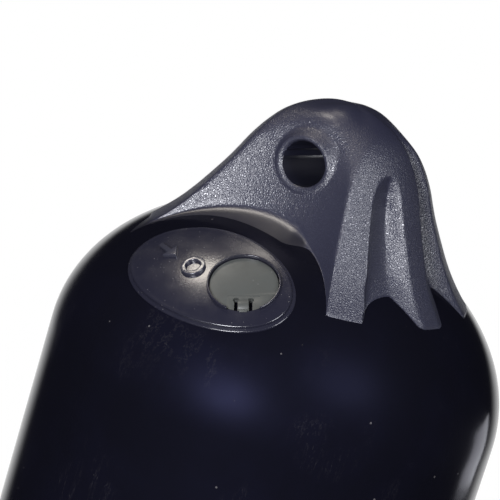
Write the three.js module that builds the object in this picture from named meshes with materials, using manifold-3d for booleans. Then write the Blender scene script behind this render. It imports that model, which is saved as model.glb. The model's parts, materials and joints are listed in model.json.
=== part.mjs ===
// Cylindrical inflatable boat fender with a moulded rope eye at each end.
//
// The vinyl body is a straight tube closed by two domed shoulders. A solid bell-shaped head
// stands on each shoulder: an eye for the rope runs through it from front to back, and three
// ribs with grooves between them run down each of its narrow ends. An oval plateau on the front
// of the upper shoulder carries a raised arrow and ring and the inflation valve under its hinged lid.
//
// Millimetres, +Z up along the fender. The origin is the centre of the upper rope eye, the
// eye runs along Y, and -Y is the front, where the valve is.

import * as THREE from 'three';
import { ParametricGeometry } from 'three/addons/geometries/ParametricGeometry.js';
import { mergeVertices } from 'three/addons/utils/BufferGeometryUtils.js';
import Module from 'manifold-3d';

const wasm = await Module();
wasm.setup();

// ---------------------------------------------------------------- driving dimensions

const clearance = 0.3; // running gap between neighbouring pieces

const bodyDiameter = 210;
const bodyStraightLength = 357; // tube between the two shoulders
const shoulderHeight = 80; // rise of the shoulder's dome, measured to its pole
const wallThickness = 3.6;

const headFootDiameter = 149; // across the feet of the ribs
const headHeight = 75; // foot of the ribs to the crown
const headFootStep = 1; // the feet stand this proud of the shoulder

const eyeWidth = 23.2;
const eyeHeight = 19.8;
const eyeBelowCrown = 27.8;
const eyeCollarWidth = 3; // flat face of the raised collar round each mouth
const eyeCollarSlope = 3.5; // its sloping rim, as wide as high
const eyeCollarProud = 2.2; // beyond the panel at the eye's centre

const panelDistance = 26; // eye axis centre to the scooped front panel, at eye level
const panelLean = 0.19; // how far the panel leans out for each millimetre downwards
const panelFillet = 18; // smooth run from panel to shoulder
const panelEdgeRounding = 2.2;

const ribAngle = 35.2; // from the middle rib to the outer ribs, in degrees
const ribsForward = 3.5; // the three ribs sit this far round towards the front, in degrees
const outerRibHalfAngle = 7.2;
const grooveDepth = 9;
const grooveFloorRounding = 0.15; // of the groove's depth
const grooveEdgeRounding = 1.8;

const plateauWidth = 83.3; // round the fender
const plateauLength = 53.5; // down the shoulder
const plateauHeight = 1.6;
const plateauAzimuth = 0.9; // from the front towards +X, in degrees
const plateauInset = 30.8; // its middle, in from the tube's side
const plateauTurn = 3.5; // its long way dips this much towards +X, in degrees

const lidDiameter = 29.5;
const lidThickness = 1.4;
const lidSink = 1.4; // lid's face below the plateau's surface at the valve's centre
const lidAzimuth = 14.7; // from the front towards +X, in degrees
const lidInset = 31.8; // valve's centre, in from the tube's side
const lidTurn = 28; // the hinge sits this far round from straight downhill, in degrees
const lidSlotSpacing = 6.3;
const lidSlotWidth = 0.9;
const lidSlotEndDiameter = 2;
const lidSlotLength = 6; // rim to the middle of the slot's round end
const lidFoldOffset = 6.5; // moulded line across the lid, from its centre
const lidFoldLength = 13.8;
const lidFoldWidth = 0.6;
const lidFoldDepth = 0.3;
const lidPegDiameter = 1.8;
const lidPegLength = 2;
const hingeRodDiameter = 1;
const hingeRise = 0.25; // hinge line above the lid's face
const hingeSetback = 0.25; // hinge line outside the lid's rim

const flangeThickness = 1;
const stemDiameter = 14;
const stemLength = 15.4; // below the flange
const needleHoleDiameter = 3.2;
const coreDiameter = 8.4;
const coreLength = 9.8;
const bossDiameter = 26;
const bossDepth = 14; // below the plateau's surface

const markAzimuths = [-16.5, -3.7]; // the raised arrow and ring, in degrees from the front
const markInset = 28.5; // in from the tube's side
const arrowLength = 13;
const arrowWidth = 8;
const arrowShaftWidth = 2.4;
const ringDiameter = 11;
const ringWidth = 2.3;
const markHeight = 0.9;

// ---------------------------------------------------------------- derived sizes

const bodyRadius = bodyDiameter / 2;
const footRadius = headFootDiameter / 2;
const plateauRadialPlace = bodyRadius - plateauInset;
const lidRadialPlace = bodyRadius - lidInset;
const markRadialPlace = bodyRadius - markInset;
const shoulderZ = (radius) => shoulderHeight * Math.sqrt(Math.max(0, 1 - (radius / bodyRadius) ** 2));
const shoulderRadius = (z) => (z < shoulderHeight ? bodyRadius * Math.sqrt(1 - (Math.max(z, 0) / shoulderHeight) ** 2) : 0);
// Heights below are measured from the edge where tube and upper shoulder meet.
const footZ = shoulderZ(footRadius) + headFootStep;
const crownZ = footZ + headHeight;
const eyeZ = crownZ - eyeBelowCrown;
const lidRadius = lidDiameter / 2;
const pocketRadius = lidRadius + 1.4 * clearance;
const flangeTop = -(lidSink + lidThickness + clearance);
const pocketFloor = flangeTop - flangeThickness - clearance;
const degrees = Math.PI / 180;

// ---------------------------------------------------------------- solids

/** Turns a closed BufferGeometry into a solid: merged corners, no collapsed faces, facing out. */
function solidFrom(geometry) {
  const bare = geometry.clone();
  bare.deleteAttribute('normal');
  bare.deleteAttribute('uv');
  if (bare.index === null) bare.setIndex([...Array(bare.attributes.position.count).keys()]);
  const merged = mergeVertices(bare, 1e-4);
  const index = merged.index.array;
  const position = merged.attributes.position;
  let triangles = [];
  for (let i = 0; i < index.length; i += 3) {
    const [a, b, c] = [index[i], index[i + 1], index[i + 2]];
    if (a !== b && b !== c && c !== a) triangles.push([a, b, c]);
  }
  const [p, q, r] = [new THREE.Vector3(), new THREE.Vector3(), new THREE.Vector3()];
  let volume = 0;
  for (const [a, b, c] of triangles) {
    p.fromBufferAttribute(position, a);
    q.fromBufferAttribute(position, b);
    r.fromBufferAttribute(position, c);
    volume += p.dot(q.cross(r));
  }
  if (volume < 0) triangles = triangles.map(([a, b, c]) => [a, c, b]);
  return new wasm.Manifold(new wasm.Mesh({
    numProp: 3,
    vertProperties: new Float32Array(position.array),
    triVerts: new Uint32Array(triangles.flat()),
  }));
}

/** Gives a solid's surface back as a BufferGeometry. */
function geometryFrom(solid) {
  const mesh = solid.getMesh();
  const geometry = new THREE.BufferGeometry();
  geometry.setAttribute('position', new THREE.BufferAttribute(new Float32Array(mesh.vertProperties), 3));
  geometry.setIndex(new THREE.BufferAttribute(new Uint32Array(mesh.triVerts), 1));
  geometry.computeVertexNormals();
  return geometry;
}

/** Solid of a geometry moved by a matrix. */
const placed = (geometry, matrix) => solidFrom(geometry.clone().applyMatrix4(matrix));

/** Upright cylinder (axis Z) between two heights. */
function post(radius, low, high, segments = 40) {
  const geometry = new THREE.CylinderGeometry(radius, radius, high - low, segments);
  geometry.rotateX(Math.PI / 2);
  geometry.translate(0, 0, (low + high) / 2);
  return geometry;
}

/** Turned shape about Z from [radius, height] points. */
function turned(points, segments) {
  const geometry = new THREE.LatheGeometry(points.map(([x, y]) => new THREE.Vector2(x, y)), segments);
  geometry.rotateX(Math.PI / 2);
  return geometry;
}

// ---------------------------------------------------------------- shape of the head

/** Piecewise linear table of [place, value]. */
function table(rows, place) {
  if (place <= rows[0][0]) return rows[0][1];
  for (let i = 1; i < rows.length; i += 1) {
    const [x0, y0] = rows[i - 1];
    const [x1, y1] = rows[i];
    if (place <= x1) return y0 + (y1 - y0) * (place - x0) / (x1 - x0);
  }
  return rows[rows.length - 1][1];
}

/** Minimum of two values with the corner between them rounded over a width. */
function roundedMin(a, b, width) {
  const h = Math.min(1, Math.max(0, 0.5 + 0.5 * (b - a) / width));
  return b + (a - b) * h - width * h * (1 - h);
}

const roundedMax = (a, b, width) => -roundedMin(-a, -b, width);

const smoothstep = (low, high, x) => {
  const t = Math.min(1, Math.max(0, (x - low) / (high - low)));
  return t * t * (3 - 2 * t);
};

// Bell outline through the rib crests: [share of the head's height, share of the foot's radius].
const bell = [
  [0, 1], [0.06, 0.94], [0.12, 0.886], [0.18, 0.838], [0.245, 0.792], [0.32, 0.744], [0.395, 0.698],
  [0.47, 0.654], [0.545, 0.615], [0.62, 0.578], [0.69, 0.537], [0.76, 0.489], [0.83, 0.43],
  [0.89, 0.356], [0.94, 0.268], [0.975, 0.175], [0.993, 0.09], [1, 0],
];
// Grooves beside the middle rib: [share of the head's height, its edge at the middle rib, its
// deepest line, its edge at the outer rib (degrees from the middle rib), share of the full depth,
// fullness of the outer wall (below 1, the wall starts steeply)].
const grooveTableRibAngle = 35.2; // the tables are for outer ribs at this angle
const frontGroove = [
  [0, 3.8, 16, 29.3, 0.66, 0.35], [0.1, 5, 15, 28.4, 0.72, 0.35], [0.2, 5.6, 13, 28, 0.9, 0.5], [0.4, 6, 11.5, 28, 1, 0.65],
  [0.55, 7, 12, 28, 0.85, 0.7], [0.64, 8, 13, 27, 0.6, 0.8], [0.7, 9.5, 14.5, 24.5, 0.28, 0.9], [0.74, 12, 15.5, 21, 0, 1],
];
const backGroove = [
  [0, 4.6, 19, 28, 0.8, 1], [0.16, 4.8, 19, 28, 0.95, 1], [0.32, 7, 19, 28, 1, 1], [0.5, 9, 20, 28, 0.85, 1],
  [0.68, 10.5, 20, 28, 0.62, 1], [0.82, 9.5, 19, 28, 0.42, 1], [0.92, 8, 18, 28, 0.28, 1], [1, 8, 18, 28, 0, 1],
];
const column = (rows, number) => rows.map((row) => [row[0], row[number]]);

/** How deep a groove is at an angle from the middle rib, as a share of the full depth. */
function grooveShare(rows, fromMiddle, rise) {
  const [inner, deepest, outer, depth, fullness] = [1, 2, 3, 4, 5].map((number) => table(column(rows, number), rise));
  const wall = fromMiddle < deepest
    ? Math.max(0, (fromMiddle - inner) / (deepest - inner))
    : Math.max(0, (outer - fromMiddle) / (outer - deepest)) ** fullness;
  const sharp = Math.hypot(1, grooveFloorRounding);
  return depth * (sharp - Math.hypot(1 - wall, grooveFloorRounding)) / (sharp - grooveFloorRounding);
}

/** Radius of the upper shoulder and head at an angle round the fender (0 at +X) and a height. */
function outerRadius(angle, z) {
  const shoulder = shoulderRadius(z);
  if (z < footZ - 1e-6) return shoulder;
  const rise = (z - footZ) / headHeight;
  const crest = footRadius * table(bell, rise);
  // The head is the same on both sides, so the angle folds onto one: -90 front, 0 side, 90 back.
  const round = Math.atan2(Math.sin(angle), Math.abs(Math.cos(angle))) / degrees;
  const rows = round + ribsForward < 0 ? frontGroove : backGroove;
  const groove = crest - grooveDepth * grooveShare(rows, Math.abs(round + ribsForward) * grooveTableRibAngle / ribAngle, rise);
  let radius = roundedMin(crest, groove, grooveEdgeRounding * Math.min(1, crest / footRadius));
  // Scooped panel: a shallow parabola in plan between the outer ribs.
  const fromPanel = (90 - Math.abs(round)) * degrees;
  const middle = panelDistance + panelLean * (eyeZ - z);
  const edge = (90 - ribAngle - outerRibHalfAngle + Math.sign(round) * ribsForward) * degrees;
  const curve = (crest * Math.cos(edge) - middle) / (crest * Math.sin(edge)) ** 2;
  const [s, c] = [Math.sin(fromPanel), Math.cos(fromPanel)];
  const square = curve * s * s;
  const root = c * c - 4 * square * middle;
  if (fromPanel < 1.35 * edge && root > 0 && crest > 1) {
    const panel = Math.abs(square) < 1e-7 ? middle / c : (c - Math.sqrt(root)) / (2 * square);
    radius = roundedMin(radius, panel, panelEdgeRounding + 6 * smoothstep(0.6, 0.92, rise));
  }
  const fillet = 0.6 + (panelFillet - 0.6) * (1 - smoothstep(28, 36, fromPanel / degrees));
  return roundedMax(Math.max(radius, 0), shoulder, fillet * (1 - smoothstep(0.3, 0.45, rise)) + 0.01);
}

// ---------------------------------------------------------------- fender shell

const sideAngles = [
  -90, -80, -71, -62, -54, -49, -45.5, -38.7, -32.5, -29.5, -25, -20, -16.5, -13, -9, -3.5,
  1.4, 6, 11, 16, 20.5, 24.8, 31.7, 38, 42, 47, 55, 63, 72, 81, 90,
];
const angles = [
  ...sideAngles.slice(0, -1),
  ...sideAngles.slice(1).reverse().map((a) => 180 - a),
].map((a) => a * degrees);

const headRises = [0, 0.05, 0.1, 0.16, 0.22, 0.28, 0.36, 0.46, 0.56, 0.66, 0.75, 0.83, 0.89, 0.94, 0.975, 0.993, 1];
const shoulderSteps = [0, 0.2, 0.4, 0.6, 0.8];
const footSlope = Math.asin((footZ - headFootStep) / shoulderHeight);
const upperHeights = [
  ...shoulderSteps.map((share) => shoulderHeight * Math.sin(footSlope * share)),
  footZ - 0.9 * headFootStep,
  ...headRises.map((rise) => footZ + headHeight * rise),
];
const levels = [
  ...upperHeights.map((z) => [z, -1]).reverse(), // lower end, crown first
  ...upperHeights.map((z) => [z, 1]), // upper end
];

const outside = new ParametricGeometry((u, v, target) => {
  const angle = angles[Math.round(u * angles.length) % angles.length];
  const [z, end] = levels[Math.round(v * (levels.length - 1))];
  const radius = z > crownZ - 1e-6 ? 0 : outerRadius(angle, z);
  const height = end > 0 ? z - eyeZ : -eyeZ - bodyStraightLength - z;
  target.set(radius * Math.cos(angle), radius * Math.sin(angle), height);
}, angles.length, levels.length - 1);

/** Profile of a tube with two domes, for the hollow and for the plateau's surface. */
function capsule(radius, dome, steps) {
  const points = [];
  for (let i = 0; i <= steps; i += 1) {
    const t = (1 - i / steps) * Math.PI / 2;
    points.push([i === 0 ? 0 : radius * Math.cos(t), -eyeZ - bodyStraightLength - dome * Math.sin(t)]);
  }
  for (let i = 0; i <= steps; i += 1) {
    const t = i / steps * Math.PI / 2;
    points.push([i === steps ? 0 : radius * Math.cos(t), -eyeZ + dome * Math.sin(t)]);
  }
  return points;
}

const hollow = solidFrom(turned(capsule(bodyRadius - wallThickness, shoulderHeight - wallThickness, 8), 44));

/** Frame on the upper shoulder: Z out of the surface, X up towards the crown, turned about Z. */
function shoulderFrame(azimuth, radialPlace, height, turn = 0) {
  const z = shoulderZ(radialPlace);
  const angle = (-90 + azimuth) * degrees;
  const out = new THREE.Vector3(Math.cos(angle), Math.sin(angle), 0);
  const normal = out.clone().multiplyScalar(radialPlace / bodyRadius ** 2);
  normal.z = z / shoulderHeight ** 2;
  normal.normalize();
  const side = new THREE.Vector3().crossVectors(new THREE.Vector3(0, 0, 1), out);
  const uphill = new THREE.Vector3().crossVectors(side, normal).multiplyScalar(-1);
  if (uphill.z < 0) uphill.negate();
  const across = new THREE.Vector3().crossVectors(normal, uphill);
  const place = out.multiplyScalar(radialPlace).setZ(z - eyeZ).addScaledVector(normal, height);
  const frame = new THREE.Matrix4().makeBasis(uphill, across, normal).setPosition(place);
  return frame.multiply(new THREE.Matrix4().makeRotationZ(turn * degrees));
}

const valveFrame = shoulderFrame(lidAzimuth, lidRadialPlace, plateauHeight, lidTurn);

// Oval plateau: the part of a slightly larger shoulder that lies under an oval prism.
const plateauOutline = new THREE.Shape();
plateauOutline.absellipse(0, 0, plateauLength / 2, plateauWidth / 2, 0, Math.PI * 2);
const plateauPrism = new THREE.ExtrudeGeometry(plateauOutline, { depth: 60, bevelEnabled: false, curveSegments: 22 });
plateauPrism.translate(0, 0, -30);
const raisedShoulder = solidFrom(turned(capsule(bodyRadius + plateauHeight, shoulderHeight + plateauHeight, 20), 88));
const plateauFrame = shoulderFrame(plateauAzimuth, plateauRadialPlace, 0, plateauTurn);
const plateau = placed(plateauPrism, plateauFrame).intersect(raisedShoulder);

// Raised marks: a plain arrow pointing at the valve, and a plain ring.
const markRoot = 1.2; // how deep the marks reach into the plateau
const markDepth = { depth: markHeight + markRoot, bevelEnabled: false, curveSegments: 14 };
const arrowNeck = -arrowLength / 2 + arrowWidth * 0.7;
const arrow = new THREE.ExtrudeGeometry(new THREE.Shape([
  new THREE.Vector2(0, -arrowLength / 2),
  new THREE.Vector2(arrowWidth / 2, arrowNeck),
  new THREE.Vector2(arrowShaftWidth / 2, arrowNeck),
  new THREE.Vector2(arrowShaftWidth / 2, arrowLength / 2),
  new THREE.Vector2(-arrowShaftWidth / 2, arrowLength / 2),
  new THREE.Vector2(-arrowShaftWidth / 2, arrowNeck),
  new THREE.Vector2(-arrowWidth / 2, arrowNeck),
]), markDepth);
const ringOutline = new THREE.Shape();
ringOutline.absarc(0, 0, ringDiameter / 2, 0, Math.PI * 2);
const ringHole = new THREE.Path();
ringHole.absarc(0, 0, ringDiameter / 2 - ringWidth, 0, Math.PI * 2, true);
ringOutline.holes.push(ringHole);
const ring = new THREE.ExtrudeGeometry(ringOutline, markDepth);
const marks = [arrow, ring].map((geometry, i) => placed(
  geometry.clone().translate(0, 0, -markRoot),
  shoulderFrame(markAzimuths[i], markRadialPlace, plateauHeight),
));

// Rope eyes: an oval bore from front to back through a collar that stands a little proud.
const oval = new THREE.Matrix4().makeScale(1, 1, eyeHeight / eyeWidth);
const eyeBore = new THREE.CylinderGeometry(eyeWidth / 2, eyeWidth / 2, 2.4 * footRadius, 40);
const collarEnd = panelDistance + eyeCollarProud;
const collarFace = eyeWidth / 2 + eyeCollarWidth;
const eyeCollar = new THREE.LatheGeometry([
  new THREE.Vector2(0, -collarEnd),
  new THREE.Vector2(collarFace, -collarEnd),
  new THREE.Vector2(collarFace + eyeCollarSlope, eyeCollarSlope - collarEnd),
  new THREE.Vector2(collarFace + eyeCollarSlope, collarEnd - eyeCollarSlope),
  new THREE.Vector2(collarFace, collarEnd),
  new THREE.Vector2(0, collarEnd),
], 40);
const atEye = (geometry, height) => placed(
  geometry, new THREE.Matrix4().makeTranslation(0, 0, height).multiply(oval),
);
const eyeHeights = [0, -2 * eyeZ - bodyStraightLength];

let shell = solidFrom(outside).add(plateau);
for (const mark of marks) shell = shell.add(mark);
for (const height of eyeHeights) shell = shell.add(atEye(eyeCollar, height));
shell = shell.subtract(hollow);
shell = shell.add(placed(post(bossDiameter / 2, -bossDepth, pocketFloor + 0.4, 32), valveFrame));
shell = shell.subtract(placed(post(pocketRadius, pocketFloor, 8, 48), valveFrame));
shell = shell.subtract(placed(post(stemDiameter / 2 + clearance, -bossDepth - 8, pocketFloor + 1, 36), valveFrame));
const hingeWidth = lidSlotSpacing - lidSlotWidth; // strap between the two slots
const hingeX = -(lidRadius + hingeSetback);
const hingeZ = -lidSink + hingeRise;
const notchReach = hingeRodDiameter / 2 + 1.5 * clearance;
const notch = new THREE.BoxGeometry(2 * notchReach, hingeWidth + 3 * clearance, 12);
notch.translate(hingeX, 0, hingeZ - notchReach + 6);
shell = shell.subtract(placed(notch, valveFrame));
for (const height of eyeHeights) shell = shell.subtract(atEye(eyeBore, height));

// ---------------------------------------------------------------- valve

const stemBottom = flangeTop - flangeThickness - stemLength;
const coreRadius = coreDiameter / 2;
const coreSeat = stemBottom + coreLength + clearance;
const valveBody = turned([
  [needleHoleDiameter / 2, flangeTop],
  [needleHoleDiameter / 2, coreSeat],
  [coreRadius + clearance, coreSeat],
  [coreRadius + clearance, stemBottom],
  [stemDiameter / 2 - 1, stemBottom],
  [stemDiameter / 2, stemBottom + 1],
  [stemDiameter / 2, flangeTop - flangeThickness],
  [lidRadius + 0.4 * clearance, flangeTop - flangeThickness],
  [lidRadius + 0.4 * clearance, flangeTop],
  [needleHoleDiameter / 2, flangeTop],
], 40);

const valveCore = post(coreRadius, stemBottom, stemBottom + coreLength, 28);

// Lid: a disc with two keyhole slots, the strap between them running to a hinge bead.
let lid = solidFrom(post(lidRadius, -lidSink - lidThickness, -lidSink, 56));
for (const side of [-1, 1]) {
  const y = side * lidSlotSpacing / 2;
  const end = post(lidSlotEndDiameter / 2, -lidSink - lidThickness - 1, -lidSink + 1, 20);
  end.translate(-lidRadius + lidSlotLength, y, 0);
  const slot = new THREE.BoxGeometry(lidSlotLength + 2, lidSlotWidth, lidThickness + 2);
  slot.translate(-lidRadius + lidSlotLength / 2 - 1, y, -lidSink - lidThickness / 2);
  lid = lid.subtract(solidFrom(end)).subtract(solidFrom(slot));
}
const fold = new THREE.BoxGeometry(lidFoldWidth, lidFoldLength, 2 * lidFoldDepth);
fold.translate(-lidFoldOffset, 0, -lidSink);
lid = lid.subtract(solidFrom(fold));
const bead = new THREE.CylinderGeometry(hingeRodDiameter / 2, hingeRodDiameter / 2, hingeWidth - lidSlotWidth, 16);
bead.translate(hingeX, 0, hingeZ);
const peg = post(lidPegDiameter / 2, -lidSink - lidThickness - lidPegLength, -lidSink - lidThickness / 2, 16);
lid = lid.add(solidFrom(bead)).add(solidFrom(peg));

// ---------------------------------------------------------------- assembly

/** Mesh with a material of its own. */
function part(name, geometry, color, roughness) {
  const mesh = new THREE.Mesh(geometry, new THREE.MeshStandardMaterial({ color, roughness, metalness: 0 }));
  mesh.name = name;
  return mesh;
}

const valve = new THREE.Group();
valve.applyMatrix4(valveFrame);
valve.add(
  part('valve_body', valveBody, 0x5b5e5b, 0.5),
  part('valve_core', valveCore, 0x1b1b1c, 0.7),
  part('valve_lid', geometryFrom(lid), 0x646764, 0.45),
);

const fender = new THREE.Group();
fender.add(part('fender_shell', geometryFrom(shell), 0x10121d, 0.25), valve);

export default fender;
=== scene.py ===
"""Dressed model of a cylindrical boat fender with a ribbed rope eye at each end.

The fender stands upright, +Z up, with the centre of its upper rope eye at the origin and its
inflation valve on the front, towards -Y. Sizes are in millimetres in the classes below and are
turned into metres where a mesh is placed.
"""

import json
import logging
import math
from dataclasses import dataclass
from enum import Enum
from typing import Callable, Iterable, Sequence

import bmesh
import bpy
import numpy as np
from mathutils import Matrix, Vector

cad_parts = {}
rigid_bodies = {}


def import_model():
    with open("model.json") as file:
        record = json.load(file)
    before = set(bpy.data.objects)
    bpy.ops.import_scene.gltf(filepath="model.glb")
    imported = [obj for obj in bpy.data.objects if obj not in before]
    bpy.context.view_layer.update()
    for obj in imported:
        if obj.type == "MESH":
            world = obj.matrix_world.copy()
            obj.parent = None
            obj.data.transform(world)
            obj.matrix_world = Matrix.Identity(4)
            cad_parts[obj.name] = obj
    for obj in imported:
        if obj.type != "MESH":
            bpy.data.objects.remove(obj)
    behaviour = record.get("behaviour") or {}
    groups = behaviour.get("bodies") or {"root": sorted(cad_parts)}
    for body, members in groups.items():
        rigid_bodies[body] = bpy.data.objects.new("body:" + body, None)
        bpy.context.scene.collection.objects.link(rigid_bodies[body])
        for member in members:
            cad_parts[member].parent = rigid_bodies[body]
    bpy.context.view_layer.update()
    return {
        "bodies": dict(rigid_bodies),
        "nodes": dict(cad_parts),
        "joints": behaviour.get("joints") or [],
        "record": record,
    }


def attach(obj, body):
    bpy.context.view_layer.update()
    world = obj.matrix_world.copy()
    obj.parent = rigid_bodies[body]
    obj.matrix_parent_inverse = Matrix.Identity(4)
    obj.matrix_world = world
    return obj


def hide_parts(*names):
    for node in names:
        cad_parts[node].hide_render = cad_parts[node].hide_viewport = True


LOG = logging.getLogger("fender")
MM = 0.001
Colour = tuple[float, float, float]
Array = np.ndarray
Piece = bpy.types.Object
Socket = bpy.types.NodeSocket
TINY = 0.001


class End(Enum):
    """Which end of the fender a head stands on."""

    UPPER = "upper"
    LOWER = "lower"


# ------------------------------------------------------------------------------ mesh work


def clear_selection() -> None:
    """Leaves edit mode and selects nothing."""
    if bpy.context.object is not None and bpy.context.object.mode != "OBJECT":
        bpy.ops.object.mode_set(mode="OBJECT")
    bpy.ops.object.select_all(action="DESELECT")


def work_on(piece: Piece) -> None:
    """Makes a piece the only selected and the active object.

    Args:
        piece: the object that the next operators act on.
    """
    clear_selection()
    piece.select_set(True)
    bpy.context.view_layer.objects.active = piece


def apply_modifier(piece: Piece, kind: str, **settings: object) -> None:
    """Adds a modifier to a piece, sets it up and applies it.

    Args:
        piece: the piece to finish.
        kind: Blender's name for the modifier's type.
        **settings: values for the modifier's properties.
    """
    work_on(piece)
    modifier = piece.modifiers.new(kind.lower(), kind)
    for name, value in settings.items():
        setattr(modifier, name, value)
    bpy.ops.object.modifier_apply(modifier=modifier.name)


def cut(piece: Piece, *cutters: Piece) -> None:
    """Cuts each cutter's volume out of a piece and removes the cutters.

    Args:
        piece: the closed mesh that is cut.
        *cutters: closed meshes in the same frame.
    """
    for cutter in cutters:
        apply_modifier(piece, "BOOLEAN", operation="DIFFERENCE", solver="EXACT", object=cutter)
        bpy.data.objects.remove(cutter, do_unlink=True)


def bevel(piece: Piece, width: float, segments: int, angle: float = 50.0) -> None:
    """Rounds the edges of a piece that are sharper than an angle.

    Args:
        piece: the piece to round.
        width: how far the rounding reaches, in millimetres.
        segments: its number of steps.
        angle: the smallest angle, in degrees, that is rounded.
    """
    apply_modifier(
        piece, "BEVEL", width=width, segments=segments, limit_method="ANGLE",
        angle_limit=math.radians(angle),
    )


def bake_place(piece: Piece) -> None:
    """Turns the place, turn and scale of a piece's object into its mesh."""
    work_on(piece)
    bpy.ops.object.transform_apply(location=True, rotation=True, scale=True)


def place(piece: Piece, matrix: Matrix) -> None:
    """Moves a piece's mesh by a matrix and leaves its object at the origin.

    Args:
        piece: the piece, modelled round the origin in millimetres.
        matrix: its place in the row frame, in metres.
    """
    piece.matrix_world = matrix @ piece.matrix_world
    bake_place(piece)


def smooth(piece: Piece, angle: float = 35.0) -> None:
    """Shades a piece smooth, with edges sharper than an angle kept crisp.

    Args:
        piece: the piece to shade.
        angle: the largest angle, in degrees, that is smoothed over.
    """
    work_on(piece)
    bpy.ops.object.shade_smooth_by_angle(angle=math.radians(angle))


def face_out(piece: Piece) -> None:
    """Merges a closed piece's doubles and turns its faces outwards.

    Args:
        piece: the closed piece.
    """
    work_on(piece)
    bpy.ops.object.mode_set(mode="EDIT")
    bpy.ops.mesh.select_all(action="SELECT")
    bpy.ops.mesh.remove_doubles(threshold=1e-4)
    bpy.ops.mesh.normals_make_consistent(inside=False)
    bpy.ops.object.mode_set(mode="OBJECT")


def coordinates(piece: Piece) -> Array:
    """Vertex positions of a piece's mesh as an array of rows.

    Args:
        piece: the piece that is read.

    Returns:
        One row of x, y and z for each vertex.
    """
    flat = np.zeros(len(piece.data.vertices) * 3)
    piece.data.vertices.foreach_get("co", flat)
    return flat.reshape(-1, 3)


def set_coordinates(piece: Piece, points: Array) -> None:
    """Writes vertex positions back to a piece's mesh."""
    piece.data.vertices.foreach_set("co", points.astype(np.float32).ravel())
    piece.data.update()


def write_attribute(piece: Piece, name: str, values: Array) -> None:
    """Stores one number for each vertex, which materials read by name.

    Args:
        piece: the piece that carries the attribute.
        name: the attribute's name.
        values: one number for each vertex.
    """
    attributes = piece.data.attributes
    attribute = attributes.get(name) or attributes.new(name, "FLOAT", "POINT")
    attribute.data.foreach_set("value", values.astype(np.float32))


def read_attribute(piece: Piece, name: str) -> Array:
    """The numbers stored for each vertex under a name.

    Args:
        piece: the piece that is read.
        name: the attribute's name.

    Returns:
        One number for each vertex.
    """
    values = np.zeros(len(piece.data.vertices), np.float32)
    piece.data.attributes[name].data.foreach_get("value", values)
    return values


def rolled_sheet(
    name: str, around: int, along: int, shape: Callable[[Array, Array], Array],
    masks: dict[str, Array] | None = None,
) -> Piece:
    """A grid rolled into a closed tube with both ends drawn together.

    Args:
        name: the piece's name.
        around: number of steps round the tube.
        along: number of steps from the first end to the last.
        shape: gives positions for the step round the tube and the step along it.
        masks: vertex attributes, as one value for each step round and along.

    Returns:
        The closed piece, modelled in millimetres round the origin.
    """
    clear_selection()
    bpy.ops.mesh.primitive_grid_add(x_subdivisions=around, y_subdivisions=along, size=2)
    piece = bpy.context.object
    piece.name = name
    grid = coordinates(piece)
    u = np.rint((grid[:, 0] + 1) / 2 * around).astype(int)
    v = np.rint((grid[:, 1] + 1) / 2 * along).astype(int)
    set_coordinates(piece, shape(u % around, v))
    for label, values in (masks or {}).items():
        write_attribute(piece, label, values[u % around, v])
    face_out(piece)
    return piece


def turned(name: str, profile: Sequence[tuple[float, float]], steps: int) -> Piece:
    """Spins a profile of (radius, height) points about Z into a closed piece.

    Args:
        name: the piece's name.
        profile: points in millimetres, from axis to axis or back to the first point.
        steps: number of steps round.

    Returns:
        The closed piece.
    """
    clear_selection()
    bpy.ops.mesh.primitive_plane_add(size=1)
    piece = bpy.context.object
    piece.name = name
    bpy.ops.object.mode_set(mode="EDIT")
    mesh = bmesh.from_edit_mesh(piece.data)
    bmesh.ops.delete(mesh, geom=list(mesh.verts), context="VERTS")
    chain = [mesh.verts.new((radius, 0.0, height)) for radius, height in profile]
    for first, second in zip(chain, chain[1:]):
        mesh.edges.new((first, second))
    bmesh.update_edit_mesh(piece.data)
    bpy.ops.mesh.select_all(action="SELECT")
    bpy.ops.mesh.spin(steps=steps, angle=math.tau, center=(0, 0, 0), axis=(0, 0, 1))
    bpy.ops.object.mode_set(mode="OBJECT")
    face_out(piece)
    return piece


def cylinder(
    name: str, radius: float, depth: float, sides: int, middle: Sequence[float],
    lying: bool = False, flattened: float = 1.0,
) -> Piece:
    """A cylinder about a middle point, in millimetres.

    Args:
        name: the piece's name.
        radius: its radius.
        depth: its length.
        sides: its number of sides.
        middle: its middle point.
        lying: whether it lies along Y rather than stands.
        flattened: its height when it lies, as a share of its width.

    Returns:
        The cylinder.
    """
    clear_selection()
    bpy.ops.mesh.primitive_cylinder_add(
        vertices=sides, radius=radius, depth=depth, location=middle,
        rotation=(math.pi / 2 if lying else 0, 0, 0),
    )
    piece = bpy.context.object
    piece.name = name
    piece.scale = (1, flattened, 1)
    bake_place(piece)
    return piece


def column(name: str, radius: float, low: float, high: float, sides: int) -> Piece:
    """An upright cylinder between two heights, in millimetres."""
    return cylinder(name, radius, high - low, sides, (0, 0, (low + high) / 2))


def block(name: str, size: Sequence[float], middle: Sequence[float]) -> Piece:
    """A box of a size about a middle point, in millimetres.

    Args:
        name: the piece's name.
        size: its sizes along X, Y and Z.
        middle: its middle point.

    Returns:
        The box.
    """
    clear_selection()
    bpy.ops.mesh.primitive_cube_add(size=1, location=middle)
    piece = bpy.context.object
    piece.name = name
    piece.scale = size
    bake_place(piece)
    return piece


def smoothstep(low: float, high: float, x: Array) -> Array:
    """Smooth rise from 0 at low to 1 at high."""
    t = np.clip((x - low) / (high - low), 0.0, 1.0)
    return t * t * (3 - 2 * t)


def rounded_min(a: Array, b: Array, width: Array | float) -> Array:
    """Smaller of two values with the corner between them rounded over a width."""
    h = np.clip(0.5 + 0.5 * (b - a) / width, 0.0, 1.0)
    return b + (a - b) * h - width * h * (1 - h)


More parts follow.
